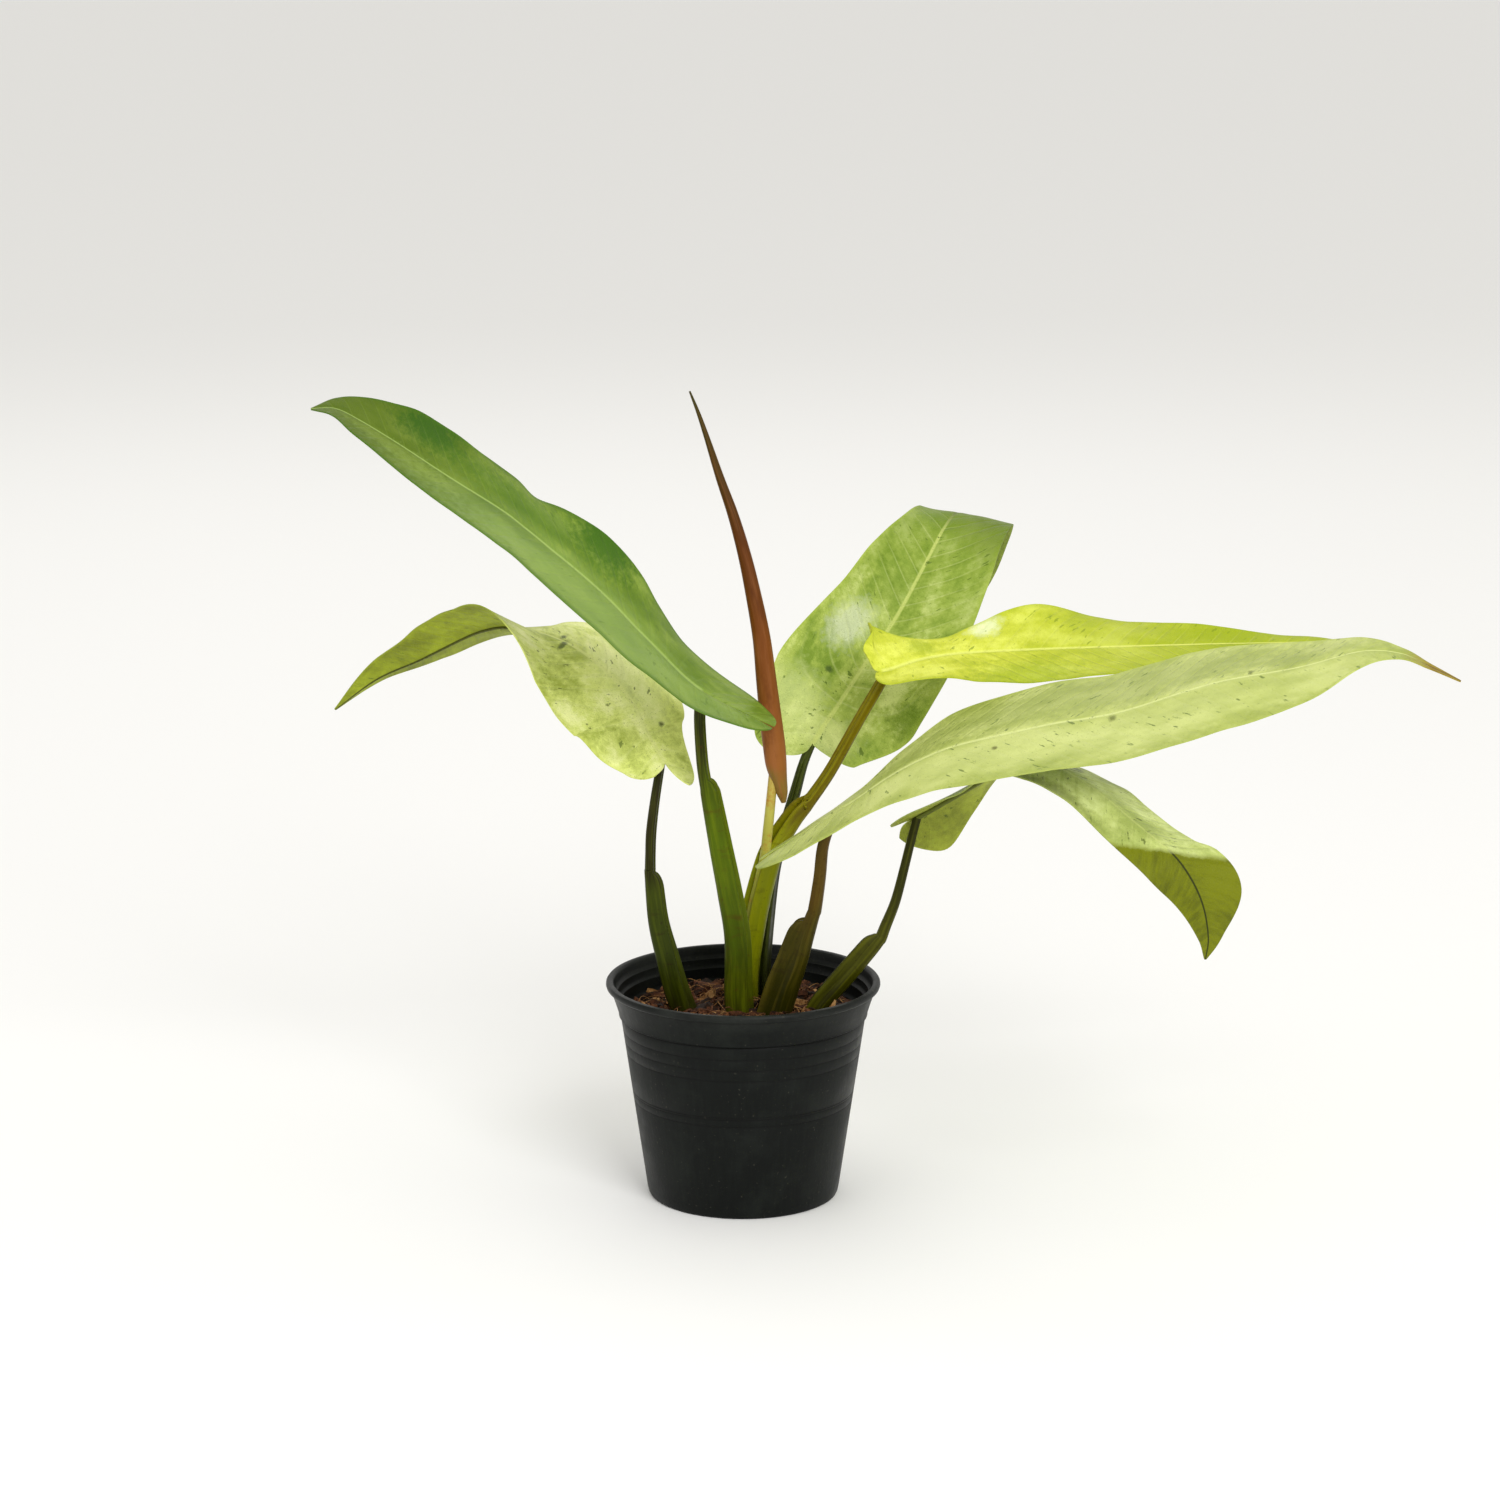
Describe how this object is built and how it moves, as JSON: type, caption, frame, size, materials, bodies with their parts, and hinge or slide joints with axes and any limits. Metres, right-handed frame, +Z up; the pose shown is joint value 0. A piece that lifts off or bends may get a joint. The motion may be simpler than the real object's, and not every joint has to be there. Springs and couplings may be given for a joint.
{
  "type": "potted whipple way philodendron",
  "caption": "Foliage house plant in a thin tapering nursery pot: long arrow-shaped leaves on sheathed stalks, spreading and drooping around an upright rolled new leaf.",
  "frame": {"origin": "on the surface the pot stands on, under the middle of the pot", "axes": "+Z up; the picture looks along +Y, and the longest leaves spread along X"},
  "size_m": [0.4845, 0.2308, 0.3589],
  "materials": {
    "pot": "satin black moulded polypropylene",
    "potting_mix": "rough bark and coconut husk chips",
    "stem": "dull plant tissue",
    "stalk": "satin plant tissue",
    "blade": "satin leaf",
    "new_leaf": "satin leaf, tightly rolled"
  },
  "bodies": {
    "root": {"blade_back": "blade", "blade_high_left": "blade", "blade_long_right": "blade", "blade_low_left": "blade", "blade_low_right": "blade", "blade_yellow": "blade", "pot": "pot", "potting_mix": "potting_mix", "rolled_new_leaf": "new_leaf", "stalk_back": "stalk", "stalk_high_left": "stalk", "stalk_long_right": "stalk", "stalk_low_left": "stalk", "stalk_low_right": "stalk", "stalk_new_leaf": "stalk", "stalk_yellow": "stalk", "stem_and_roots": "stem"}
  },
  "joints": []
}
